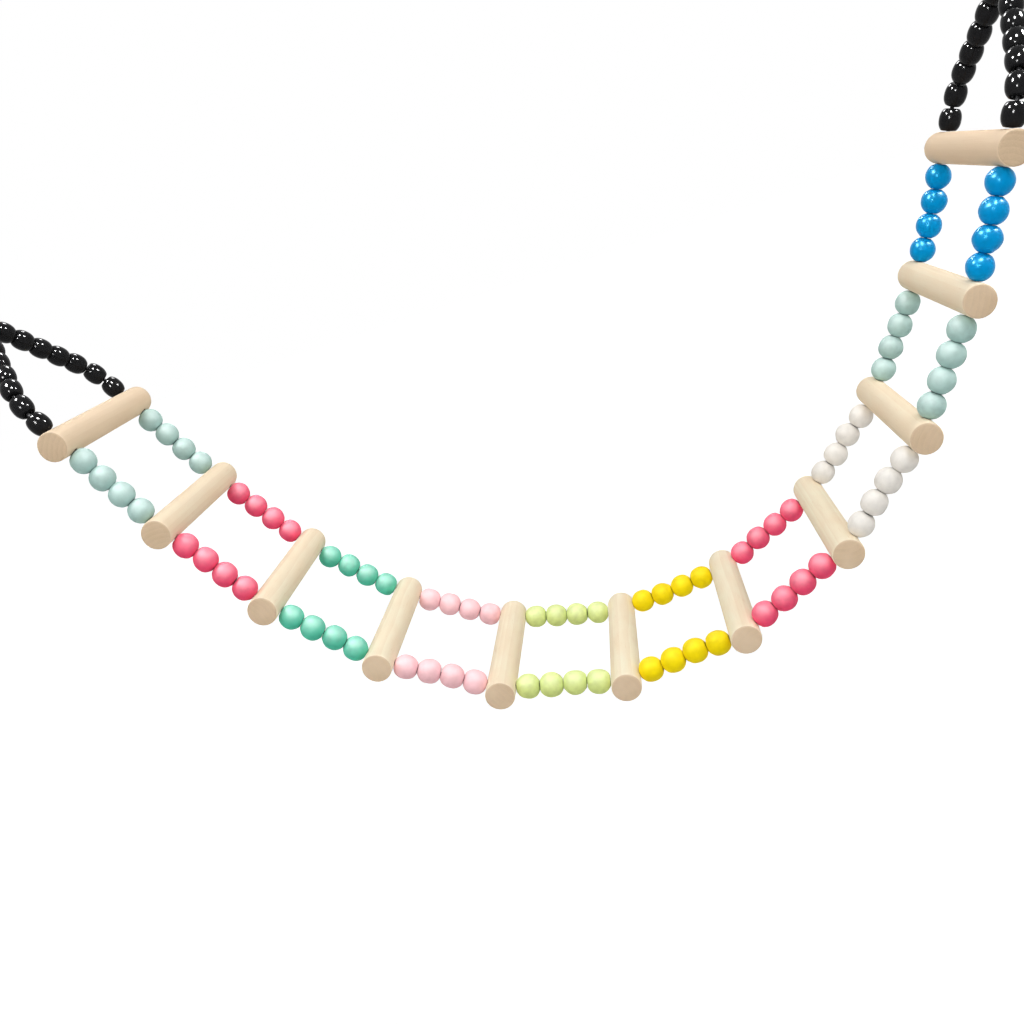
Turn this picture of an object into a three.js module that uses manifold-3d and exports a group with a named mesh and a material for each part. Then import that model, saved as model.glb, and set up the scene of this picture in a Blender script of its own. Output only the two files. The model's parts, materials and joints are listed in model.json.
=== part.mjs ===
// Hanging bird ladder: wooden rungs and painted wooden beads strung on two bendable steel wires.
// Millimetres, +Z up. X runs from the left hanging point to the right one, which is level with it,
// and Y runs along the rungs. The origin is the left hanging point, inside the bow of the left link.
import * as THREE from 'three';
import { mergeVertices } from 'three/addons/utils/BufferGeometryUtils.js';
import Module from 'manifold-3d';

// Rungs: round dowels, with a cross hole near each end for a wire
const RUNG_COUNT = 11;
const RUNG_DIAMETER = 12.5;
const RUNG_LENGTH = 87;
const RUNG_EDGE = 0.8; // eased edge round each end
const HOLE_INSET = 8; // rung's end to the wire

// Round beads between the rungs
const BEADS_PER_SPAN = 4;
const BEAD_DIAMETER = 10.3;
const BEAD_LENGTH = 9.7;
const BEAD_LIP = 0.5; // flat ring round the bore, where two beads meet

// Barrel beads of the bridle at each end. Below each leaning strand one more barrel is seated on the rung,
// and one stands between them at half of the lean.
const BARRELS_PER_STRAND = 5;
const BARREL_DIAMETER = 8.7;
const BARREL_LENGTH = 8.5;
const BARREL_LIP = 1.3;

// Wires, with their ends bent into eyes round the links
const WIRE_DIAMETER = 1.6;
const WIRE_BEND_RADIUS = 9;
const EYE_START = THREE.MathUtils.degToRad(50);
const EYE_END = THREE.MathUtils.degToRad(310);

// Oval steel link, whose mouth is closed by a sleeve nut on its thread
const LINK_ROD = 3.5;
const LINK_INNER_LENGTH = 29;
const LINK_INNER_WIDTH = 10.5;
const LINK_MOUTH = 5;
const LINK_STUB = 2; // thread on the short side of the mouth
const NUT_FLATS = 6.5;
const NUT_LENGTH = 9;
const NUT_CHAMFER = 0.5;

// Clearances
const BEAD_SEAT = 0.3; // a bead and what it sits against
const BORE_CLEARANCE = 0.7; // a wire in a bead
const HOLE_CLEARANCE = 0.2; // a bent wire at the mouth of a rung's hole
const EYE_CLEARANCE = 0.45; // a wire eye round the link's rod
const EYE_GAP = 0.8; // the front eye and the rear eye
const NUT_CLEARANCE = 0.3; // the nut round the link's rod

// Hanging shape: the bend at the rungs follows a cosine that peaks just past the middle rung
const BEND_PEAK = THREE.MathUtils.degToRad(19.9);
const BEND_STEP = THREE.MathUtils.degToRad(17.57);
const BEND_SHIFT = 0.27; // in rungs
const FIRST_LEAN = Math.PI / 6; // a bridle's lean, before it is worked out
const LEAN_TURNS = 30;

// Faces round each form
const RUNG_SIDES = 16;
const HOLE_SIDES = 8;
const BEAD_SIDES = 10;
const BARREL_SIDES = 8;
const WIRE_SIDES = 6;
const ROD_SIDES = 8;
const NUT_SIDES = 12;
const BEAD_BANDS = 4;
const EYE_STEPS = 9;
const BOW_STEPS = 8;

const WOOD = { color: 0xecd3ae, roughness: 0.75, metalness: 0 };
const STEEL = { color: 0xb9bcc0, roughness: 0.3, metalness: 1 };
const DARK_WIRE = { color: 0x2e2f32, roughness: 0.4, metalness: 1 };
const BLACK_GLOSS = { color: 0x0d0e10, roughness: 0.08, metalness: 0 };
const SPAN_PAINTS = [
  { color: 0xa6d3cf, roughness: 0.6, metalness: 0 },
  { color: 0xee4c79, roughness: 0.35, metalness: 0 },
  { color: 0x4dbb9c, roughness: 0.35, metalness: 0 },
  { color: 0xf5b3c8, roughness: 0.45, metalness: 0 },
  { color: 0xc3e487, roughness: 0.45, metalness: 0 },
  { color: 0xf2d60f, roughness: 0.4, metalness: 0 },
  { color: 0xee4c79, roughness: 0.35, metalness: 0 },
  { color: 0xf1eeee, roughness: 0.45, metalness: 0 },
  { color: 0xa6d3cf, roughness: 0.5, metalness: 0 },
  { color: 0x1b8ae0, roughness: 0.3, metalness: 0 },
];
const SIDES = { front: -1, rear: 1 };

// Sizes that follow from the ones above
const rungRadius = RUNG_DIAMETER / 2;
const wireSpacing = RUNG_LENGTH - 2 * HOLE_INSET; // front wire to rear wire
const wireRadius = WIRE_DIAMETER / 2;
const rodRadius = LINK_ROD / 2;
const beadBore = wireRadius + BORE_CLEARANCE;
const barrelFlat = beadBore + BARREL_LIP;
const rungPitch = RUNG_DIAMETER + 2 * BEAD_SEAT + BEADS_PER_SPAN * BEAD_LENGTH;
const holeRadius = rungRadius * Math.tan(BEND_PEAK / 2) + wireRadius + HOLE_CLEARANCE;
const eyeRadius = rodRadius + EYE_CLEARANCE + wireRadius;
const eyeOffset = wireRadius + EYE_GAP / 2;
const linkReach = LINK_INNER_LENGTH + rodRadius; // hanging point to the wire eyes
const bowRadius = (LINK_INNER_WIDTH + LINK_ROD) / 2;
const nutTop = bowRadius - rodRadius; // where the straight side of the link starts
const bridle = bridleShape();

const wasm = await Module();
wasm.setup();

function bendAt(rung) {
  const middle = (RUNG_COUNT + 1) / 2 + BEND_SHIFT;
  return BEND_PEAK * Math.cos((rung - middle) * BEND_STEP);
}

// Each wire of a bridle leaves the end rung straight through the seated barrel, then leans in to the eyes
// in two bends. The lean and the room that the barrels need at the bends depend on each other, so they are
// worked out in turn.
function bridleShape() {
  const halfWidth = wireSpacing / 2 - eyeOffset;
  const barrelRadius = BARREL_DIAMETER / 2;
  let lean = FIRST_LEAN;
  let wedge = 0;
  let tail = 0;
  let step = 0; // bend to bend
  let reach = 0; // upper bend to the eyes
  for (let turn = 0; turn < LEAN_TURNS; turn += 1) {
    const besideTwin = (barrelRadius * Math.cos(lean) + BEAD_SEAT - eyeOffset) / Math.sin(lean);
    wedge = barrelFlat * Math.tan(lean / 4) + BEAD_SEAT / 2 / Math.cos(lean / 4);
    tail = Math.max(eyeRadius + wireRadius + BEAD_SEAT, besideTwin - BARREL_LENGTH / 2);
    step = BARREL_LENGTH + 2 * wedge;
    reach = wedge + BARRELS_PER_STRAND * BARREL_LENGTH + tail;
    lean = Math.asin((halfWidth - step * Math.sin(lean / 2)) / reach);
  }
  const rise = rungRadius + BEAD_SEAT + BARREL_LENGTH + wedge; // rung to the lower bend
  const height = rise + step * Math.cos(lean / 2) + reach * Math.cos(lean);
  return { lean, tail, reach, rise, height };
}

function solidOf(geometry) {
  const plain = geometry.clone();
  plain.deleteAttribute('normal');
  plain.deleteAttribute('uv');
  const merged = mergeVertices(plain);
  const corners = merged.index.array;
  const kept = [];
  for (let i = 0; i < corners.length; i += 3) {
    const [a, b, c] = corners.slice(i, i + 3);
    if (a !== b && b !== c && c !== a) kept.push(a, b, c);
  }
  const vertProperties = merged.attributes.position.array;
  const triVerts = new Uint32Array(kept);
  return new wasm.Manifold(new wasm.Mesh({ numProp: 3, vertProperties, triVerts }));
}

function geometryOf(solid) {
  const { vertProperties, triVerts } = solid.getMesh();
  const geometry = new THREE.BufferGeometry();
  geometry.setAttribute('position', new THREE.BufferAttribute(vertProperties, 3));
  geometry.setIndex(new THREE.BufferAttribute(triVerts, 1));
  geometry.computeVertexNormals();
  return geometry;
}

function piece(name, geometry, finish) {
  const mesh = new THREE.Mesh(geometry, new THREE.MeshStandardMaterial(finish));
  mesh.name = name;
  return mesh;
}

function numbered(stem, number) {
  return `${stem}_${String(number).padStart(2, '0')}`;
}

function lathe(profile, sides) {
  return new THREE.LatheGeometry(profile.map(([r, y]) => new THREE.Vector2(r, y)), sides);
}

// A rod or wire with a round section, through every point of the route
class Route extends THREE.Curve {
  constructor(points) {
    super();
    this.points = points;
  }

  getPoint(t, target = new THREE.Vector3()) {
    const place = t * (this.points.length - 1);
    const i = Math.min(Math.floor(place + 1e-6), this.points.length - 2);
    return target.lerpVectors(this.points[i], this.points[i + 1], place - i);
  }

  getTangent(t, target = new THREE.Vector3()) {
    const last = this.points.length - 1;
    const i = Math.round(t * last);
    const ahead = this.points[Math.min(i + 1, last)].clone().sub(this.points[i]).normalize();
    const behind = this.points[i].clone().sub(this.points[Math.max(i - 1, 0)]).normalize();
    return target.addVectors(ahead, behind).normalize();
  }

  getPointAt(u, target) {
    return this.getPoint(u, target);
  }

  getTangentAt(u, target) {
    return this.getTangent(u, target);
  }
}

function roundBar(points, radius, sides) {
  const section = new THREE.Shape();
  for (let k = 0; k < sides; k += 1) {
    const angle = (2 * Math.PI * k) / sides;
    const corner = [radius * Math.cos(angle), radius * Math.sin(angle)];
    if (k === 0) section.moveTo(...corner);
    else section.lineTo(...corner);
  }
  return new THREE.ExtrudeGeometry(section, { steps: points.length - 1, extrudePath: new Route(points) });
}

// The corner of a wire, as three points of a bend
function bentCorner(before, corner, after, radius) {
  const back = before.clone().sub(corner).normalize();
  const on = after.clone().sub(corner).normalize();
  const reach = radius * Math.tan((Math.PI - back.angleTo(on)) / 2);
  const start = corner.clone().addScaledVector(back, reach);
  const end = corner.clone().addScaledVector(on, reach);
  const middle = start.clone().add(end).multiplyScalar(0.25).addScaledVector(corner, 0.5);
  return [start, middle, end];
}

function rungGeometry() {
  const half = RUNG_LENGTH / 2;
  const face = rungRadius - RUNG_EDGE;
  const dowel = lathe(
    [[0, -half], [face, -half], [rungRadius, RUNG_EDGE - half], [rungRadius, half - RUNG_EDGE],
      [face, half], [0, half]],
    RUNG_SIDES,
  );
  const drill = holeRadius / Math.cos(Math.PI / HOLE_SIDES);
  let solid = solidOf(dowel);
  for (const side of Object.values(SIDES)) {
    const hole = new THREE.CylinderGeometry(drill, drill, 2 * RUNG_DIAMETER, HOLE_SIDES);
    hole.rotateZ(Math.PI / 2).translate(0, (side * wireSpacing) / 2, 0);
    solid = solid.subtract(solidOf(hole));
  }
  return geometryOf(solid);
}

// Beads in a row along Y, each a part of an ellipsoid with flat ends, resting on each other there
function beadRow(count, length, diameter, lip, sides) {
  const radius = diameter / 2;
  const sweep = Math.acos((beadBore + lip) / radius);
  const reach = length / 2 / Math.sin(sweep);
  const half = (count * length) / 2;
  const profile = [[beadBore, -half]];
  for (let bead = 0; bead < count; bead += 1) {
    const centre = (bead + 0.5) * length - half;
    for (let band = bead === 0 ? 0 : 1; band <= BEAD_BANDS; band += 1) {
      const angle = sweep * ((2 * band) / BEAD_BANDS - 1);
      profile.push([radius * Math.cos(angle), centre + reach * Math.sin(angle)]);
    }
  }
  profile.push([beadBore, half], [beadBore, -half]);
  return lathe(profile, sides);
}

function linkGeometry() {
  const topCentre = bowRadius - rodRadius;
  const lowCentre = linkReach - bowRadius;
  const points = [new THREE.Vector3(nutTop + LINK_STUB, bowRadius, 0)];
  for (const [centre, first] of [[topCentre, Math.PI / 2], [lowCentre, -Math.PI / 2]]) {
    for (let step = 0; step <= BOW_STEPS; step += 1) {
      const angle = first + (Math.PI * step) / BOW_STEPS;
      points.push(new THREE.Vector3(centre + bowRadius * Math.cos(angle), bowRadius * Math.sin(angle), 0));
    }
  }
  points.push(new THREE.Vector3(nutTop + LINK_STUB + LINK_MOUTH, bowRadius, 0));
  return roundBar(points, rodRadius, ROD_SIDES);
}

function nutGeometry() {
  const corner = NUT_FLATS / 2 / Math.cos(Math.PI / 6);
  const half = NUT_LENGTH / 2;
  const hexagon = new THREE.CylinderGeometry(corner, corner, NUT_LENGTH, 6);
  const turned = lathe(
    [[0, -half], [NUT_FLATS / 2, -half], [corner, NUT_CHAMFER - half], [corner, half - NUT_CHAMFER],
      [NUT_FLATS / 2, half], [0, half]],
    NUT_SIDES,
  );
  const bore = (rodRadius + NUT_CLEARANCE) / Math.cos(Math.PI / HOLE_SIDES);
  const drill = new THREE.CylinderGeometry(bore, bore, 2 * NUT_LENGTH, HOLE_SIDES);
  return geometryOf(solidOf(hexagon).intersect(solidOf(turned)).subtract(solidOf(drill)));
}

// A link with its nut: X runs from the hanging point inside the upper bow to the wire eyes on the lower bow
function hangingLink(end) {
  const group = new THREE.Group();
  const nut = piece(`nut_${end}`, nutGeometry(), STEEL);
  nut.rotation.z = -Math.PI / 2;
  nut.position.set(nutTop + NUT_LENGTH / 2, bowRadius, 0);
  group.add(piece(`link_${end}`, linkGeometry(), STEEL), nut);
  return group;
}

function barrelRow(name, count, middle, turn) {
  const row = beadRow(count, BARREL_LENGTH, BARREL_DIAMETER, BARREL_LIP, BARREL_SIDES);
  const barrels = piece(name, row, BLACK_GLOSS);
  barrels.position.copy(middle);
  barrels.rotation.z = turn;
  return barrels;
}

// The barrels on one side of a bridle. Inward is +1 where the rung lies on the +X side.
function bridleBarrels(end, side, eyesX, inward) {
  const sign = SIDES[side];
  const flip = -inward * sign;
  const across = Math.PI / 2;
  const strand = bridlePoint(sign, eyesX, inward, bridle.tail + (BARRELS_PER_STRAND * BARREL_LENGTH) / 2);
  const [low, high] = bridleBends(sign, eyesX, inward);
  const between = low.clone().lerp(high, 0.5);
  const seatX = bridle.height - rungRadius - BEAD_SEAT - BARREL_LENGTH / 2;
  const seat = new THREE.Vector3(eyesX + inward * seatX, (sign * wireSpacing) / 2, 0);
  return [
    barrelRow(`barrels_${end}_${side}`, BARRELS_PER_STRAND, strand, flip * (across - bridle.lean)),
    barrelRow(`turn_barrel_${end}_${side}`, 1, between, flip * (across - bridle.lean / 2)),
    barrelRow(`seat_barrel_${end}_${side}`, 1, seat, flip * across),
  ];
}

// The two bends of a bridle's wire, from the rung up
function bridleBends(sign, eyesX, inward) {
  const low = new THREE.Vector3(eyesX + inward * (bridle.height - bridle.rise), (sign * wireSpacing) / 2, 0);
  return [low, bridlePoint(sign, eyesX, inward, bridle.reach)];
}

// A point on a bridle's wire, by its distance along the wire from the eyes
function bridlePoint(sign, eyesX, inward, distance) {
  const x = eyesX + inward * distance * Math.cos(bridle.lean);
  return new THREE.Vector3(x, sign * (eyeOffset + distance * Math.sin(bridle.lean)), 0);
}

// The eye at the end of a wire and the stem below it, from the free end inwards
function wireEye(sign, eyesX, inward) {
  const points = [];
  for (let step = 0; step <= EYE_STEPS; step += 1) {
    const angle = EYE_END + ((EYE_START - EYE_END) * step) / EYE_STEPS;
    const x = eyesX + inward * eyeRadius * Math.cos(angle);
    points.push(new THREE.Vector3(x, sign * eyeOffset, eyeRadius * Math.sin(angle)));
  }
  points.push(bridlePoint(sign, eyesX, inward, bridle.tail));
  return points;
}

// Nested groups: each rung's group also holds the beads of the span after it and the next rung's group
const ladder = new THREE.Group();
const leftLink = hangingLink('left');
const leftBridle = new THREE.Group();
leftBridle.position.x = linkReach;
ladder.add(leftLink, leftBridle);
const rungGroups = [];
for (let rung = 1; rung <= RUNG_COUNT; rung += 1) {
  const group = new THREE.Group();
  group.position.x = rung === 1 ? bridle.height : rungPitch;
  group.rotation.y = -bendAt(rung);
  const dowel = piece(numbered('rung', rung), rungGeometry(), WOOD);
  dowel.rotation.y = bendAt(rung) / 2;
  group.add(dowel);
  (rungGroups.at(-1) ?? leftBridle).add(group);
  rungGroups.push(group);
}
rungGroups.slice(0, -1).forEach((group, span) => {
  for (const [side, sign] of Object.entries(SIDES)) {
    const row = beadRow(BEADS_PER_SPAN, BEAD_LENGTH, BEAD_DIAMETER, BEAD_LIP, BEAD_SIDES);
    const strand = piece(numbered(`beads_${side}`, span + 1), row, SPAN_PAINTS[span % SPAN_PAINTS.length]);
    strand.position.set(rungPitch / 2, (sign * wireSpacing) / 2, 0);
    strand.rotation.z = -Math.PI / 2;
    group.add(strand);
  }
});
const lastRung = rungGroups.at(-1);
const rightLink = hangingLink('right');
rightLink.position.x = bridle.height + linkReach;
rightLink.rotation.z = Math.PI;
lastRung.add(rightLink);
for (const side of Object.keys(SIDES)) {
  leftBridle.add(...bridleBarrels('left', side, 0, 1));
  lastRung.add(...bridleBarrels('right', side, bridle.height, -1));
}
ladder.updateMatrixWorld(true);

// Each wire, along its whole route through the bridles, the rungs and the spans
for (const [side, sign] of Object.entries(SIDES)) {
  const y = (sign * wireSpacing) / 2;
  const placed = (group, points) => points.map((point) => group.localToWorld(point));
  const leftEye = placed(leftBridle, wireEye(sign, 0, 1));
  const rightEye = placed(lastRung, wireEye(sign, bridle.height, -1)).reverse();
  const tight = (points) => points.map((corner) => [corner, WIRE_DIAMETER]);
  const corners = [
    ...tight(placed(leftBridle, bridleBends(sign, 0, 1)).reverse()),
    ...rungGroups.map((group) => [group.localToWorld(new THREE.Vector3(0, y, 0)), WIRE_BEND_RADIUS]),
    ...tight(placed(lastRung, bridleBends(sign, bridle.height, -1))),
  ];
  const line = [leftEye.at(-1), ...corners.map(([corner]) => corner), rightEye[0]];
  const bends = corners.flatMap(([corner, radius], k) => bentCorner(line[k], corner, line[k + 2], radius));
  const wire = roundBar([...leftEye, ...bends, ...rightEye], wireRadius, WIRE_SIDES);
  ladder.add(piece(`wire_${side}`, wire, DARK_WIRE));
}

// Turn the whole ladder about the left hanging point until the right one is level with it
const rightHang = rightLink.getWorldPosition(new THREE.Vector3());
ladder.rotation.y = Math.atan2(rightHang.z, rightHang.x);
ladder.updateMatrixWorld(true);

export default ladder;
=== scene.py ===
import json
import math
import random

import bmesh
import bpy
from mathutils import Matrix, Quaternion, Vector, noise
from mathutils.geometry import interpolate_bezier


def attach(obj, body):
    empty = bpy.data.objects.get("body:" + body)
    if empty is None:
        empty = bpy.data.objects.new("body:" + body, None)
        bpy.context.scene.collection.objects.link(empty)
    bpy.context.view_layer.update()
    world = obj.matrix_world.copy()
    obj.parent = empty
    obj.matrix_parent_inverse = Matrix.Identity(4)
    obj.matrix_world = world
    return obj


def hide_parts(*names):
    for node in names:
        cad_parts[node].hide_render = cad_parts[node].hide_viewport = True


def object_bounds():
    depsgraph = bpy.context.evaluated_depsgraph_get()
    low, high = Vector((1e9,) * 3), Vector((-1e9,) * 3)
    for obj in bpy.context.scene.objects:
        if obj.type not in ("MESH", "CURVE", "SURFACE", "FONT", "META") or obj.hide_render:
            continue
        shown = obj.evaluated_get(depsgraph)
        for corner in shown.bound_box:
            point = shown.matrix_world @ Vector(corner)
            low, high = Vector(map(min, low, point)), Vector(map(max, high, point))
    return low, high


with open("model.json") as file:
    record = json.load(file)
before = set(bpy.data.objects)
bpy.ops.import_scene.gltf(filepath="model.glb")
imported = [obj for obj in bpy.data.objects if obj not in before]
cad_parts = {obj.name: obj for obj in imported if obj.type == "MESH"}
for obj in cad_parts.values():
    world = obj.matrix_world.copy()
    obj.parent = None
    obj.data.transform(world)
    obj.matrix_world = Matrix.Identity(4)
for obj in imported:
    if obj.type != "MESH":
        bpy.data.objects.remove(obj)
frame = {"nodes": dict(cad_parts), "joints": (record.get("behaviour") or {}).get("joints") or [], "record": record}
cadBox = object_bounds()
joints = {joint["name"]: joint for joint in frame["joints"]}
mounts = {mount["name"]: mount for mount in frame["record"]["mounts"]}
scene = bpy.context.scene
chance = random.Random(11)


# Where things are: the eyes of the left bridle, the rungs in order, the eyes of the right bridle

def jointPlace(name):
    return Vector(joints[name]["pos_m"])


rungNames = sorted(name for name in frame["nodes"] if name.startswith("rung_"))
stations = [jointPlace("link_left_pivot")]
stations += [jointPlace(name + "_flex") for name in rungNames]
stations += [jointPlace("link_right_pivot")]
runs = [(ahead - here).normalized() for here, ahead in zip(stations, stations[1:])]
alongRung = Vector((0, 1, 0))
sides = {"front": -1, "rear": 1}


# Camera

view = dict(place=(0.2769, -0.4454, -0.0402), aim=(0.2015, 0.0, -0.1707), roll=-19.1, lens=38.55, sensor=36,
            nearest=0.01)


def addCamera():
    camera = bpy.data.objects.new("camera", bpy.data.cameras.new("camera"))
    camera.data.lens = view["lens"]
    camera.data.sensor_width = view["sensor"]
    camera.data.clip_start = view["nearest"]
    place = Vector(view["place"])
    look = (Vector(view["aim"]) - place).to_track_quat("-Z", "Y")
    camera.rotation_mode = "QUATERNION"
    camera.rotation_quaternion = look @ Quaternion((0, 0, 1), math.radians(view["roll"]))
    camera.location = place
    scene.collection.objects.link(camera)
    scene.camera = camera


addCamera()
print("camera placed")


# Node helpers

def tint(red, green, blue):
    # a screen colour, 0 to 255, as the linear colour that a socket takes
    def straight(value):
        value /= 255
        return value / 12.92 if value <= 0.04045 else ((value + 0.055) / 1.055) ** 2.4
    return (straight(red), straight(green), straight(blue), 1)


def shaded(colour, amount):
    # a linear colour made lighter or darker
    red, green, blue = (min(1, part * amount) for part in colour[:3])
    return (red, green, blue, 1)


def newFinish(name):
    finish = bpy.data.materials.new(name)
    finish.use_nodes = True
    return finish, finish.node_tree.nodes["Principled BSDF"]


def addNode(tree, kind, settings=None, **inputs):
    node = tree.nodes.new("ShaderNode" + kind)
    for name, value in (settings or {}).items():
        setattr(node, name, value)
    for name, value in inputs.items():
        socket = node.inputs[name.replace("_", " ")]
        if isinstance(value, bpy.types.NodeSocket):
            tree.links.new(value, socket)
        else:
            socket.default_value = value
    return node


def stretchedNoise(tree, place, stretch, scale, detail=2.0):
    mapped = addNode(tree, "Mapping", Vector=place, Scale=stretch)
    return addNode(tree, "TexNoise", Vector=mapped.outputs["Vector"], Scale=scale, Detail=detail).outputs["Fac"]


def spread(tree, value, low, high, start=0.0, end=1.0):
    node = addNode(tree, "MapRange", Value=value)
    for name, number in (("From Min", start), ("From Max", end), ("To Min", low), ("To Max", high)):
        node.inputs[name].default_value = number
    return node.outputs["Result"]


def mixColours(tree, amount, first, second, blend="MIX"):
    node = addNode(tree, "Mix", dict(data_type="RGBA", blend_type=blend))
    for socket, value in ((node.inputs[0], amount), (node.inputs[6], first), (node.inputs[7], second)):
        if isinstance(value, bpy.types.NodeSocket):
            tree.links.new(value, socket)
        else:
            socket.default_value = value
    return node.outputs[2]


def addBump(tree, shader, height, strength, depth):
    bump = addNode(tree, "Bump", Height=height, Strength=strength, Distance=depth)
    tree.links.new(bump.outputs["Normal"], shader.inputs["Normal"])


# Wood of the rungs: growth rings round a pith that each rung carries in its grain attribute

# the heart colours are partly real heartwood and partly painted shade, laid most on the end rungs
wood = dict(pale=(248, 240, 213), warm=(245, 225, 194), heartAndShade=(236, 205, 172), pore=(230, 203, 168),
            endPale=(228, 204, 175), endWarm=(206, 178, 145), endHeartAndShade=(200, 173, 141),
            ringScale=150.0, ringStretch=0.08, ringWaver=1.6, fibreScale=2600, fibreStretch=0.03,
            fibreReach=(0.45, 0.75), fibreBump=0.25, fibreDepth=0.00015, patchScale=120, patchStretch=0.35,
            patchAmount=(0, 0.8, 0.3, 0.75), poreScale=1500, poreStretch=0.09, poreAmount=(0, 0.4, 0.68, 0.76),
            roughness=(0.62, 0.78), gloss=0.04)


def woodFinish(name, pale, warm, heartAndShade, ringContrast, fibre):
    finish, shader = newFinish(name)
    tree = finish.node_tree
    grain = addNode(tree, "Attribute", dict(attribute_name="grain")).outputs["Vector"]

    def drawnOut(pattern, detail):
        # a noise that runs along the rung
        stretch = (1, wood[pattern + "Stretch"], 1)
        return stretchedNoise(tree, grain, stretch, wood[pattern + "Scale"], detail)

    waver = addNode(tree, "Mapping", Vector=grain, Scale=(1, wood["ringStretch"], 1)).outputs["Vector"]
    rings = addNode(tree, "TexWave", dict(wave_type="RINGS", rings_direction="Y", wave_profile="SAW"),
                    Vector=waver, Scale=wood["ringScale"], Distortion=wood["ringWaver"], Detail=2.0,
                    Detail_Scale=1.2)
    fibres = drawnOut("fibre", 3.0)
    patches = drawnOut("patch", 2.0)
    pores = drawnOut("pore", 1.0)
    ringAmount = spread(tree, rings.outputs["Fac"], 0, ringContrast)
    colour = mixColours(tree, spread(tree, patches, *wood["patchAmount"]), tint(*pale), tint(*warm))
    # painted shade in part: the darker heart colour is mixed in by each rung's listed amount, most on the end rungs
    warmth = addNode(tree, "Attribute", dict(attribute_name="warmth")).outputs["Fac"]
    colour = mixColours(tree, warmth, colour, tint(*heartAndShade))
    fibreAmount = spread(tree, fibres, 0, fibre, *wood["fibreReach"])
    poreAmount = spread(tree, pores, *wood["poreAmount"])
    for amount in (ringAmount, fibreAmount, poreAmount):
        colour = mixColours(tree, amount, colour, tint(*wood["pore"]))
    tree.links.new(colour, shader.inputs["Base Color"])
    tree.links.new(spread(tree, fibres, *wood["roughness"]), shader.inputs["Roughness"])
    shader.inputs["Specular IOR Level"].default_value = wood["gloss"]
    addBump(tree, shader, fibres, wood["fibreBump"], wood["fibreDepth"])
    return finish


rungSide = woodFinish("rungSideGrain", wood["pale"], wood["warm"], wood["heartAndShade"], 0.3, 0.2)
rungEnd = woodFinish("rungEndGrain", wood["endPale"], wood["endWarm"], wood["endHeartAndShade"], 0.3, 0.35)


# Paints of the round beads, one for each span from the left

paints = {
    "paint_aqua": dict(colour=(162, 195, 188), roughness=0.67, gloss=0.22, glow=(255, 255, 255), pore=0.5, full=2.1),
    "paint_hot_pink": dict(colour=(233, 62, 104), roughness=0.67, gloss=0.24, glow=(255, 255, 255), pore=0.5,
                           full=2.1),
    "paint_teal": dict(colour=(64, 186, 154), roughness=0.67, gloss=0.3, glow=(255, 255, 255), pore=0.5, full=2.1),
    "paint_light_pink": dict(colour=(250, 190, 195), roughness=0.67, gloss=0.17, glow=(255, 255, 255), pore=0.5,
                             full=2.2),
    "paint_lime": dict(colour=(208, 222, 132), roughness=0.67, gloss=0.19, glow=(255, 255, 245), pore=0.5, full=2.2),
    "paint_yellow": dict(colour=(246, 214, 10), roughness=0.6, gloss=0.12, glow=(255, 248, 80), pore=0.4, full=2.15),
    "paint_white": dict(colour=(229, 224, 216), roughness=0.67, gloss=0.12, glow=(255, 255, 255), pore=0.5, full=2.1),
    "paint_blue": dict(colour=(2, 146, 211), roughness=0.28, gloss=0.12, glow=(110, 220, 255), pore=0.0, full=1.95),
}
# one colour and its amount here are painted shade, darkening the paint round the ends of the bore
coat = dict(thin=1.16, thick=0.82, paintedShade=0.35, patchScale=420, patchAmount=(0.15, 0.85, 0.25, 0.75), toneAmount=0.5,
            paintedShadeAmount=0.9, smoother=0.05, rougher=0.07, poreScale=1000, poreStretch=(1, 1, 0.5), poreDepth=0.00012)
spanPaints = ["paint_aqua", "paint_hot_pink", "paint_teal", "paint_light_pink", "paint_lime",
              "paint_yellow", "paint_hot_pink", "paint_white", "paint_aqua", "paint_blue"]


def paintFinish(name, paint):
    finish, shader = newFinish(name)
    tree = finish.node_tree
    place = addNode(tree, "TexCoord").outputs["Object"]
    tone = addNode(tree, "Attribute", dict(attribute_name="tone")).outputs["Fac"]
    lip = addNode(tree, "Attribute", dict(attribute_name="lip")).outputs["Fac"]
    patches = stretchedNoise(tree, place, (1, 1, 1), coat["patchScale"], 3.0)
    pores = stretchedNoise(tree, place, coat["poreStretch"], coat["poreScale"], 2.0)
    thin, thick, paintedShade = (shaded(tint(*paint["colour"]), coat[name]) for name in ("thin", "thick", "paintedShade"))
    colour = mixColours(tree, spread(tree, patches, *coat["patchAmount"]), thick, thin)
    colour = mixColours(tree, spread(tree, tone, 0, coat["toneAmount"]), colour, thin)
    # painted shade: the paint is darkened round the ends of the bore, where beads meet beads and rungs
    colour = mixColours(tree, spread(tree, lip, 0, coat["paintedShadeAmount"]), colour, paintedShade)
    tree.links.new(colour, shader.inputs["Base Color"])
    rough = spread(tree, patches, paint["roughness"] - coat["smoother"], paint["roughness"] + coat["rougher"])
    tree.links.new(rough, shader.inputs["Roughness"])
    shader.inputs["Specular IOR Level"].default_value = paint["gloss"]
    shader.inputs["Specular Tint"].default_value = tint(*paint["glow"])
    if paint["pore"]:
        addBump(tree, shader, pores, paint["pore"], coat["poreDepth"])
    return finish


paintFinishes = {name: paintFinish(name, paint) for name, paint in paints.items()}


# Black lacquer of the barrels, and the two steels

lacquer = dict(dark=(0.009, 0.009, 0.010, 1), light=(0.016, 0.016, 0.017, 1), rippleScale=320,
               roughness=(0.06, 0.12), gloss=0.05)
steel = dict(cloudScale=240, scratchScale=2200, scratchBump=0.04, scratchDepth=0.0001, gloss=0.1)


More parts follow.
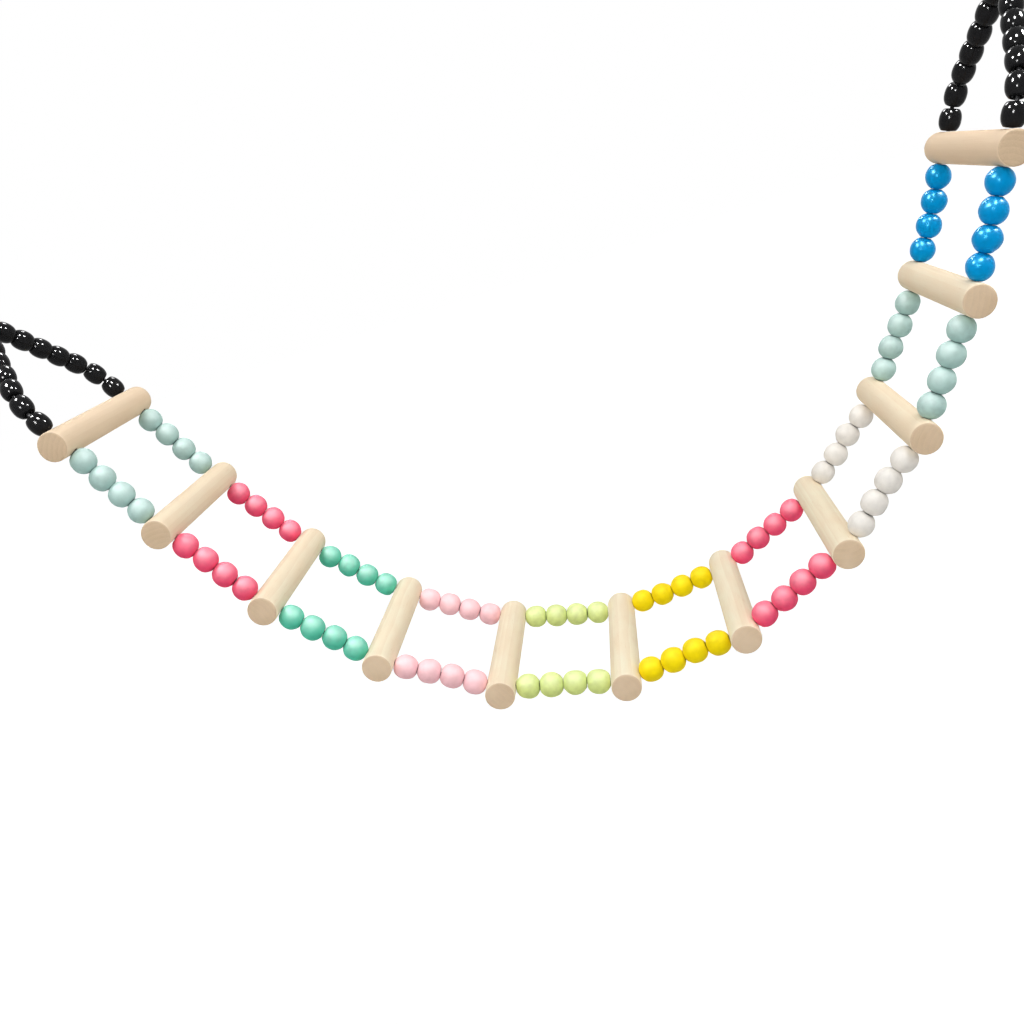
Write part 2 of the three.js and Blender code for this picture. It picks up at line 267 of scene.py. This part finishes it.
def lacquerFinish():
    finish, shader = newFinish("blackLacquer")
    tree = finish.node_tree
    place = addNode(tree, "TexCoord").outputs["Object"]
    ripple = stretchedNoise(tree, place, (1, 1, 1), lacquer["rippleScale"], 1.0)
    colour = mixColours(tree, ripple, lacquer["dark"], lacquer["light"])
    tree.links.new(colour, shader.inputs["Base Color"])
    tree.links.new(spread(tree, ripple, *lacquer["roughness"]), shader.inputs["Roughness"])
    shader.inputs["Specular IOR Level"].default_value = lacquer["gloss"]
    return finish


def steelFinish(name, dark, light, metal, roughness, streak):
    finish, shader = newFinish(name)
    tree = finish.node_tree
    place = addNode(tree, "TexCoord").outputs["Object"]
    cloud = stretchedNoise(tree, place, (1, 1, 1), steel["cloudScale"], 3.0)
    scratch = stretchedNoise(tree, place, streak, steel["scratchScale"], 2.0)
    colour = mixColours(tree, cloud, tint(*dark), tint(*light))
    tree.links.new(colour, shader.inputs["Base Color"])
    tree.links.new(spread(tree, scratch, *roughness), shader.inputs["Roughness"])
    shader.inputs["Metallic"].default_value = metal
    shader.inputs["Specular IOR Level"].default_value = steel["gloss"]
    addBump(tree, shader, scratch, steel["scratchBump"], steel["scratchDepth"])
    return finish


blackLacquer = lacquerFinish()
wireSteel = steelFinish("annealedWire", (26, 26, 28), (44, 44, 46), 0.1, (0.5, 0.65), (1, 1, 0.05))
linkSteel = steelFinish("zincPlate", (138, 141, 147), (174, 177, 183), 1.0, (0.24, 0.38), (0.2, 1, 1))
print("finishes made:", len(bpy.data.materials))


# Piece helpers

smoothAngle = math.radians(38)  # flatter edges than this are shaded smooth
rimAngle = math.radians(60)  # sharper edges than this are rims of a turned blank


def addPiece(name, mesh, finishes, body, nodes):
    for finish in finishes:
        mesh.materials.append(finish)
    mesh.shade_smooth()
    mesh.set_sharp_from_angle(angle=smoothAngle)
    piece = bpy.data.objects.new(name, mesh)
    scene.collection.objects.link(piece)
    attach(piece, body)
    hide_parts(*nodes)
    return piece


def meshOf(bm, name):
    bmesh.ops.recalc_face_normals(bm, faces=bm.faces)
    mesh = bpy.data.meshes.new(name)
    bm.to_mesh(mesh)
    bm.free()
    return mesh


def cutMesh(blank, tool, operation):
    # a boolean of two closed meshes, settled into a new mesh
    piece = bpy.data.objects.new("blank", blank)
    cutter = bpy.data.objects.new("cutter", tool)
    for item in (piece, cutter):
        scene.collection.objects.link(item)
    cut = piece.modifiers.new("cut", "BOOLEAN")
    cut.operation = operation
    cut.solver = "EXACT"
    cut.object = cutter
    graph = bpy.context.evaluated_depsgraph_get()
    settled = bpy.data.meshes.new_from_object(piece.evaluated_get(graph))
    for item in (piece, cutter):
        bpy.data.objects.remove(item)
    return settled


def vertsOf(made):
    return [item for item in made if isinstance(item, bmesh.types.BMVert)]


def edgesOf(made):
    return [item for item in made if isinstance(item, bmesh.types.BMEdge)]


def openEdges(bm):
    return [edge for edge in bm.edges if edge.is_boundary]


def sweepRod(bm, route, radii, around):
    # a round rod along the route, with a radius for each of its points
    along = (route[1] - route[0]).normalized()
    start = Matrix.Translation(route[0]) @ along.to_track_quat("Z", "Y").to_matrix().to_4x4()
    ring = bmesh.ops.create_circle(bm, segments=around, radius=radii[0], matrix=start)["verts"]
    edges = list({edge for vert in ring for edge in vert.link_edges})
    for step in range(1, len(route)):
        here, ahead = route[step - 1], route[step]
        beyond = route[min(step + 1, len(route) - 1)]
        mitre = ((ahead - here).normalized() + (beyond - ahead).normalized()).normalized()
        grown = bmesh.ops.extrude_edge_only(bm, edges=edges)["geom"]
        ring, edges = vertsOf(grown), edgesOf(grown)
        bmesh.ops.translate(bm, vec=ahead - here, verts=ring)
        bmesh.ops.rotate(bm, cent=ahead, matrix=along.rotation_difference(mitre).to_matrix(), verts=ring)
        size = radii[step] / radii[step - 1]
        bmesh.ops.scale(bm, vec=(size, size, size), space=Matrix.Translation(-ahead), verts=ring)
        along = mitre
    bmesh.ops.holes_fill(bm, edges=openEdges(bm), sides=0)


# Rungs

rung = dict(diameter=0.0125, length=0.087, edge=0.0009, edgeSteps=4, holeInset=0.008, hole=0.0042, holeAround=28,
            holeBand=0.0034, around=72)
wireSpacing = rung["length"] - 2 * rung["holeInset"]
# how dark each rung is made: partly how near the heart of its tree it was cut, partly painted shade that darkens the
# end rungs as though less lit
heartwoodAndShade = [0.7, 0.4, 0.2, 0.1, 0.15, 0.0, 0.0, 0.0, 0.35, 0.3, 0.8]


def rungBlank():
    radius = rung["diameter"] / 2
    bm = bmesh.new()
    bmesh.ops.create_cone(bm, cap_ends=True, segments=rung["around"], radius1=radius, radius2=radius,
                          depth=rung["length"], matrix=Matrix.Rotation(math.pi / 2, 4, "X"))
    rims = [edge for edge in bm.edges if edge.calc_face_angle() > rimAngle]
    bmesh.ops.bevel(bm, geom=rims, offset=rung["edge"], offset_type="OFFSET", affect="EDGES",
                    segments=rung["edgeSteps"], profile=0.5, material=-1)
    # rings each side of the holes keep their cuts local
    for side in sides.values():
        for band in (-rung["holeBand"], rung["holeBand"]):
            everything = bm.verts[:] + bm.edges[:] + bm.faces[:]
            bmesh.ops.bisect_plane(bm, geom=everything, dist=1e-7, plane_no=alongRung,
                                   plane_co=(0, side * wireSpacing / 2 + band, 0))
    drills = bmesh.new()
    for side in sides.values():
        place = Matrix.Translation((0, side * wireSpacing / 2, 0)) @ Matrix.Rotation(math.pi / 2, 4, "Y")
        bmesh.ops.create_cone(drills, cap_ends=True, segments=rung["holeAround"], radius1=rung["hole"] / 2,
                              radius2=rung["hole"] / 2, depth=2 * rung["diameter"], matrix=place)
    return cutMesh(meshOf(bm, "rungBlank"), meshOf(drills, "drills"), "DIFFERENCE")


def addRung(number, blank):
    name = rungNames[number - 1]
    drilled = runs[number - 1] + runs[number]
    turn = Matrix.Rotation(math.atan2(-drilled.z, drilled.x), 4, "Y")
    place = Matrix.Translation(stations[number]) @ turn
    mesh = blank.copy()
    mesh.name = name
    # each rung is cut from its own part of a tree
    pith = Vector((chance.uniform(0.004, 0.02), chance.uniform(0, 3), chance.uniform(-0.012, 0.012)))
    spin = Matrix.Rotation(chance.uniform(0, 2 * math.pi), 3, "Y")
    grain = mesh.attributes.new("grain", "FLOAT_VECTOR", "POINT")
    for vert, spot in zip(mesh.vertices, grain.data):
        spot.vector = spin @ vert.co + pith
    # partly painted shade: the end rungs are given more of the darker heart colour, as though less lit
    warmth = mesh.attributes.new("warmth", "FLOAT", "POINT")
    warmth.data.foreach_set("value", [heartwoodAndShade[number - 1]] * len(mesh.vertices))
    for face in mesh.polygons:
        flatEnd = abs(face.normal.y) > 0.6 and abs(face.center.y) > rung["length"] / 2 - rung["edge"]
        face.material_index = 1 if flatEnd else 0
    mesh.transform(place)
    addPiece("dowel_%02d" % number, mesh, [rungSide, rungEnd], name, [name])


rungMesh = rungBlank()
for rungNumber in range(1, len(rungNames) + 1):
    addRung(rungNumber, rungMesh)
print("rungs made:", len(rungNames))


# Beads: round ones between the rungs, barrels on the bridles

bead = dict(diameter=0.0103, length=0.0097, pitch=0.00982, bore=0.0030, lip=0.0005, around=44, rings=28,
            soften=0.0002, lean=3.0, shift=0.00028, dent=0.0003, dentScale=150.0, facet=0.00012, facetScale=360.0)
barrel = dict(diameter=0.0087, length=0.0085, pitch=0.0085, bore=0.0030, lip=0.0013, full=2.3, around=44, rings=28,
              soften=0.0005, lean=1.2, shift=0.00010, dent=0.00003, dentScale=190.0, facet=0.0, facetScale=360.0)
beadsPerSpan = 4
barrelsPerStrand = 5
lipAngle = math.radians(25)  # sharper edges than this are softened
softenSteps = 3
paintedShadeReach = 3  # the painted shade reaches this many lips out from the bore


def turnedBead(size):
    # a ball with its shoulders filled out, longer than the bead so that its ends cut to flats
    radius = size["diameter"] / 2
    flat = size["bore"] / 2 + size["lip"]
    full = size["full"]
    reach = size["length"] / 2 / (1 - (flat / radius) ** full) ** (1 / full)
    bm = bmesh.new()
    bmesh.ops.create_uvsphere(bm, u_segments=size["around"], v_segments=size["rings"], radius=1)
    for vert in bm.verts:
        out = (1 - abs(vert.co.z) ** full) ** (1 / full) if abs(vert.co.z) < 1 else 0
        vert.co.xy = vert.co.xy.normalized() * radius * out
        vert.co.z *= reach
    for end in (-1, 1):
        everything = bm.verts[:] + bm.edges[:] + bm.faces[:]
        bmesh.ops.bisect_plane(bm, geom=everything, dist=1e-7, plane_no=(0, 0, end), clear_outer=True,
                               plane_co=(0, 0, end * size["length"] / 2))
    inward = vertsOf(bmesh.ops.extrude_edge_only(bm, edges=openEdges(bm))["geom"])
    shrink = size["bore"] / 2 / flat
    bmesh.ops.scale(bm, vec=(shrink, shrink, 1), verts=inward)
    bmesh.ops.bridge_loops(bm, edges=openEdges(bm))
    lips = [edge for edge in bm.edges if edge.calc_face_angle() > lipAngle]
    bmesh.ops.bevel(bm, geom=lips, offset=size["soften"], offset_type="OFFSET", affect="EDGES",
                    segments=softenSteps, profile=0.5, material=-1)
    return meshOf(bm, "turnedBead")


def strandMesh(name, size, count, blank, place):
    bm = bmesh.new()
    tone = bm.verts.layers.float.new("tone")
    lip = bm.verts.layers.float.new("lip")
    for number in range(count):
        made = len(bm.verts)
        bm.from_mesh(blank)
        bm.verts.ensure_lookup_table()
        shell = bm.verts[made:]
        shade = chance.random()
        seed = Vector((chance.uniform(-9, 9), chance.uniform(-9, 9), chance.uniform(-9, 9)))
        for vert in shell:
            across = vert.co.xy.length
            vert[tone] = shade
            # the lip mask sets where the painted shade round the bore falls
            vert[lip] = max(0.0, 1 - (across - size["bore"] / 2) / (paintedShadeReach * size["lip"]))
            if across > size["bore"]:
                uneven = size["dent"] * noise.noise(vert.co * size["dentScale"] + seed)
                uneven += size["facet"] * noise.noise(vert.co * size["facetScale"] - seed)
                vert.co += vert.co.normalized() * uneven
        tilt = Matrix.Rotation(math.radians(chance.uniform(-size["lean"], size["lean"])), 4, "X")
        tilt = tilt @ Matrix.Rotation(math.radians(chance.uniform(-size["lean"], size["lean"])), 4, "Y")
        tilt = tilt @ Matrix.Rotation(chance.uniform(0, 2 * math.pi), 4, "Z")
        aside = (chance.uniform(-1, 1) * size["shift"], chance.uniform(-1, 1) * size["shift"],
                 (number - (count - 1) / 2) * size["pitch"])
        bmesh.ops.transform(bm, matrix=place @ Matrix.Translation(aside) @ tilt, verts=shell)
    return meshOf(bm, name)


def addStrand(name, body, node, size, count, blank, finish):
    joint = joints[body + "_spin"]
    turn = Vector(joint["axis"]).to_track_quat("Z", "Y").to_matrix().to_4x4()
    place = Matrix.Translation(joint["pos_m"]) @ turn
    addPiece(name, strandMesh(name, size, count, blank, place), [finish], body, [node])


barrelMesh = turnedBead(barrel)
for spanNumber, paintName in enumerate(spanPaints, 1):
    beadMesh = turnedBead(dict(bead, full=paints[paintName]["full"]))
    for side in sides:
        addStrand("painted_beads_%02d_%s" % (spanNumber, side), "strand_%02d_%s" % (spanNumber, side),
                  "beads_%s_%02d" % (side, spanNumber), bead, beadsPerSpan, beadMesh, paintFinishes[paintName])
for end in ("left", "right"):
    for side in sides:
        strand = end + "_" + side
        addStrand("black_barrels_" + strand, "strand_" + strand, "barrels_" + strand, barrel, barrelsPerStrand,
                  barrelMesh, blackLacquer)
        for lone in ("turn_", "seat_"):
            addStrand("black_%sbarrel_" % lone + strand, lone + strand, lone + "barrel_" + strand, barrel, 1,
                      barrelMesh, blackLacquer)
print("beads made:", len(spanPaints) * 2 * beadsPerSpan, "round and", 4 * (barrelsPerStrand + 2), "barrels")


# Wires: a stretch from rung to rung, the length inside each rung, and the bridles with their eyes

wire = dict(diameter=0.0016, eyeRadius=0.0030, eyeGap=0.0012, eyeFrom=310, eyeTo=60, eyeSteps=24, tail=0.0075,
            stemSteps=8, lowRise=0.0157, highRise=0.0249, highAside=0.0321, bendLength=0.0006, bendSteps=5,
            outside=0.00015, within=0.00005, around=12)
# from the middle of a rung, where the stretches end outside it and its own wires end inside it
mouth = rung["diameter"] / 2 + wire["outside"]
inside = rung["diameter"] / 2 - wire["within"]
wireNodes = ["wire_front", "wire_rear"]


def spanWires(name, number):
    # from the mouth of one rung's hole to the mouth of the next
    bm = bmesh.new()
    for side in sides.values():
        aside = alongRung * side * wireSpacing / 2
        step = runs[number] * mouth
        sweepRod(bm, [stations[number] + aside + step, stations[number + 1] + aside - step],
                 [wire["diameter"] / 2] * 2, wire["around"])
    return meshOf(bm, name)


def rungWires(name, number):
    # stops just inside the mouths, clear of the stretches that bend away there
    bm = bmesh.new()
    for side in sides.values():
        middle = stations[number] + alongRung * side * wireSpacing / 2
        sweepRod(bm, [middle - runs[number - 1] * inside, middle, middle + runs[number] * inside],
                 [wire["diameter"] / 2] * 3, wire["around"])
    return meshOf(bm, name)


def bridleWires(name, eyes, rungPlace):
    # from the free end of each eye, round the link and down to the end rung
    bm = bmesh.new()
    down = (rungPlace - eyes).normalized()
    out = down.cross(alongRung)
    for side in sides.values():
        centre = eyes + alongRung * side * wire["eyeGap"]
        entry = rungPlace + alongRung * side * wireSpacing / 2
        low = entry - down * wire["lowRise"]
        high = rungPlace - down * wire["highRise"] + alongRung * side * wire["highAside"]
        lean = (high - centre).normalized()
        route = []
        for step in range(wire["eyeSteps"] + 1):
            angle = math.radians(wire["eyeFrom"] + (wire["eyeTo"] - wire["eyeFrom"]) * step / wire["eyeSteps"])
            route.append(centre + (down * math.cos(angle) + out * math.sin(angle)) * wire["eyeRadius"])
        heading = (route[-1] - route[-2]).normalized()
        stem = centre + lean * wire["tail"]
        pull = wire["tail"] / 3
        route += interpolate_bezier(route[-1], route[-1] + heading * pull, stem - lean * pull, stem,
                                    wire["stemSteps"])[1:]
        between = (low - high).normalized()
        for corner, before, after in ((high, lean, between), (low, between, down)):
            start, stop = corner - before * wire["bendLength"], corner + after * wire["bendLength"]
            route += interpolate_bezier(start, corner, corner, stop, wire["bendSteps"])
        route.append(entry - down * mouth)
        sweepRod(bm, route, [wire["diameter"] / 2] * len(route), wire["around"])
    return meshOf(bm, name)


addPiece("bridle_wires_left", bridleWires("bridle_wires_left", stations[0], stations[1]), [wireSteel], "wires",
         wireNodes)
for spanNumber in range(1, len(rungNames)):
    name = "span_wires_%02d" % spanNumber
    addPiece(name, spanWires(name, spanNumber), [wireSteel], rungNames[spanNumber - 1], wireNodes)
for rungNumber in range(1, len(rungNames) + 1):
    name = "rung_wires_%02d" % rungNumber
    addPiece(name, rungWires(name, rungNumber), [wireSteel], rungNames[rungNumber - 1], wireNodes)
addPiece("bridle_wires_right", bridleWires("bridle_wires_right", stations[-1], stations[-2]), [wireSteel],
         rungNames[-1], wireNodes)
print("wires made")


# Links and their sleeve nuts

link = dict(rod=0.0035, innerLength=0.029, innerWidth=0.0105, mouth=0.005, stub=0.002, around=20, bowSteps=20,
            threadPitch=0.0006, threadDepth=0.00022, threadLength=0.010)
nut = dict(flats=0.0065, length=0.009, chamfer=0.0005, bore=0.0042, around=60, boreAround=32)


def threaded(start, end, radius):
    # points and radii of a stretch of thread, as sharp ridges
    count = int((end - start).length / link["threadPitch"] * 2)
    route = [start.lerp(end, step / count) for step in range(count + 1)]
    radii = [radius - link["threadDepth"] * (step % 2) for step in range(count + 1)]
    return route, radii


def linkMesh(name, place):
    radius = link["rod"] / 2
    bow = (link["innerWidth"] + link["rod"]) / 2
    topCentre = bow - radius
    lowCentre = link["innerLength"] + radius - bow
    stubEnd = Vector((topCentre + link["stub"], bow, 0))
    mouthEnd = Vector((topCentre + link["stub"] + link["mouth"], bow, 0))
    threadEnd = mouthEnd + Vector((link["threadLength"], 0, 0))
    route, radii = threaded(stubEnd, Vector((topCentre, bow, 0)), radius)
    for centre, first in ((topCentre, 90), (lowCentre, -90)):
        for step in range(link["bowSteps"] + 1):
            angle = math.radians(first + 180 * step / link["bowSteps"])
            point = Vector((centre + bow * math.cos(angle), bow * math.sin(angle), 0))
            if (point - route[-1]).length > 1e-6:
                route.append(point)
                radii.append(radius)
    thread = threaded(threadEnd, mouthEnd, radius)
    bm = bmesh.new()
    sweepRod(bm, route + thread[0], radii + thread[1], link["around"])
    bmesh.ops.transform(bm, matrix=place, verts=bm.verts)
    return meshOf(bm, name)


def nutMesh(name, place):
    corner = nut["flats"] / 2 / math.cos(math.pi / 6)
    lengthwise = Matrix.Rotation(math.pi / 2, 4, "Y")
    hexagon, turned, drill = bmesh.new(), bmesh.new(), bmesh.new()
    for bm, radius, segments, depth in ((hexagon, corner, 6, nut["length"]),
                                        (turned, corner, nut["around"], nut["length"]),
                                        (drill, nut["bore"] / 2, nut["boreAround"], 2 * nut["length"])):
        bmesh.ops.create_cone(bm, cap_ends=True, segments=segments, radius1=radius, radius2=radius, depth=depth,
                              matrix=lengthwise)
    rims = [edge for edge in turned.edges if edge.calc_face_angle() > rimAngle]
    bmesh.ops.bevel(turned, geom=rims, offset=nut["chamfer"], offset_type="OFFSET", affect="EDGES", segments=1,
                    profile=0.5, material=-1)
    blank = cutMesh(meshOf(hexagon, "hexagon"), meshOf(turned, "turned"), "INTERSECT")
    sleeve = cutMesh(blank, meshOf(drill, "drill"), "DIFFERENCE")
    sleeve.name = name
    bow = (link["innerWidth"] + link["rod"]) / 2
    topCentre = bow - link["rod"] / 2
    sleeve.transform(place @ Matrix.Translation((topCentre + nut["length"] / 2, bow, 0)))
    return sleeve


def addLink(end, eyes, flip):
    hang = Vector(mounts[end + "_hang"]["pos_m"])
    down = (eyes - hang).normalized()
    across = alongRung * flip
    place = Matrix.Translation(hang) @ Matrix((down, across, down.cross(across))).transposed().to_4x4()
    rod = addPiece("quick_link_" + end, linkMesh("quick_link_" + end, place), [linkSteel], end + "_link",
                   ["link_" + end])
    sleeve = addPiece("sleeve_nut_" + end, nutMesh("sleeve_nut_" + end, place), [linkSteel], end + "_nut",
                      ["nut_" + end])
    steelPieces.objects.link(rod)
    steelPieces.objects.link(sleeve)


steelPieces = bpy.data.collections.new("steelPieces")
addLink("left", stations[0], 1)
addLink("right", stations[-1], -1)
print("links made")


# Floor and light

studio = dict(floorDrop=0.36, floorSize=12.0, floorColour=(0.7, 0.7, 0.7, 1), floorRoughness=0.9, liftNear=0.44,
              liftFar=0.72, nearReach=0.35, farReach=1.8, fill=0.5)
lamps = {
    "lampLeft": dict(place=(-0.12, -0.16, 0.65), size=0.6, power=2.4, glint=84.0),
    "lampMiddle": dict(place=(0.50, -0.38, 0.61), size=0.6, power=3.0, glint=84.0),
    "lampRight": dict(place=(0.95, -0.02, 0.34), size=0.6, power=5.0, glint=45.0),
    "lampFront": dict(place=(0.07, -0.76, 0.26), size=0.5, power=5.0, glint=22.0),
    "lampBack": dict(place=(0.20, 0.55, 0.50), size=0.6, power=1.6, glint=8.0),
}
glintSize = 0.2
lampAway = 1.6  # the soft lamps stand farther back than their glints


def seenDirectly(tree):
    # 1 for rays from the camera, and for those that metal or gloss sends on
    path = addNode(tree, "LightPath")
    seen = path.outputs["Is Camera Ray"]
    for name in ("Is Glossy Ray", "Is Transmission Ray"):
        either = addNode(tree, "Math", dict(operation="MAXIMUM"))
        tree.links.new(seen, either.inputs[0])
        tree.links.new(path.outputs[name], either.inputs[1])
        seen = either.outputs["Value"]
    return seen


def addFloor():
    bm = bmesh.new()
    centre = (stations[0] + stations[-1]) / 2
    lowest = cadBox[0][2] - studio["floorDrop"]
    bmesh.ops.create_grid(bm, x_segments=1, y_segments=1, size=studio["floorSize"] / 2,
                          matrix=Matrix.Translation((centre.x, 0, lowest)))
    floor = bpy.data.objects.new("floor", meshOf(bm, "floor"))
    finish, shader = newFinish("paleFloor")
    tree = finish.node_tree
    shader.inputs["Base Color"].default_value = studio["floorColour"]
    shader.inputs["Roughness"].default_value = studio["floorRoughness"]
    shader.inputs["Specular IOR Level"].default_value = 0.0
    shader.inputs["Emission Color"].default_value = (1, 1, 1, 1)
    # the lamps fade with distance, so the floor is lifted more there to stay white
    place = addNode(tree, "TexCoord").outputs["Object"]
    away = addNode(tree, "VectorMath", dict(operation="DISTANCE"))
    tree.links.new(place, away.inputs[0])
    away.inputs[1].default_value = (centre.x, 0, lowest)
    lift = spread(tree, away.outputs["Value"], studio["liftNear"], studio["liftFar"], studio["nearReach"],
                  studio["farReach"])
    shown = addNode(tree, "Math", dict(operation="MULTIPLY"))
    tree.links.new(lift, shown.inputs[0])
    tree.links.new(seenDirectly(tree), shown.inputs[1])
    tree.links.new(shown.outputs["Value"], shader.inputs["Emission Strength"])
    floor.data.materials.append(finish)
    scene.collection.objects.link(floor)


def addLamp(name, place, aim, size, power):
    light = bpy.data.lights.new(name, "AREA")
    light.shape = "DISK"
    light.size = size
    light.energy = power
    holder = bpy.data.objects.new(name, light)
    holder.location = place
    holder.rotation_euler = (aim - holder.location).to_track_quat("-Z", "Y").to_euler()
    scene.collection.objects.link(holder)
    return holder


def addLight():
    world = bpy.data.worlds.new("studio")
    world.use_nodes = True
    scene.world = world
    tree = world.node_tree
    background = tree.nodes["Background"]
    background.inputs["Color"].default_value = (1, 1, 1, 1)
    tree.links.new(spread(tree, seenDirectly(tree), studio["fill"], 1.0), background.inputs["Strength"])
    middle = (Vector(cadBox[0]) + Vector(cadBox[1])) / 2
    for member in steelPieces.collection_objects:
        member.light_linking.link_state = "EXCLUDE"
    for name, lamp in lamps.items():
        addLamp(name, middle + (Vector(lamp["place"]) - middle) * lampAway, middle, lamp["size"], lamp["power"])
        glint = addLamp(name + "Glint", lamp["place"], middle, glintSize, lamp["glint"])
        glint.visible_diffuse = False  # shows in gloss alone, and bare steel is left out of it
        glint.light_linking.receiver_collection = steelPieces


addFloor()
addLight()
scene.view_settings.view_transform = "Standard"
print("studio made")
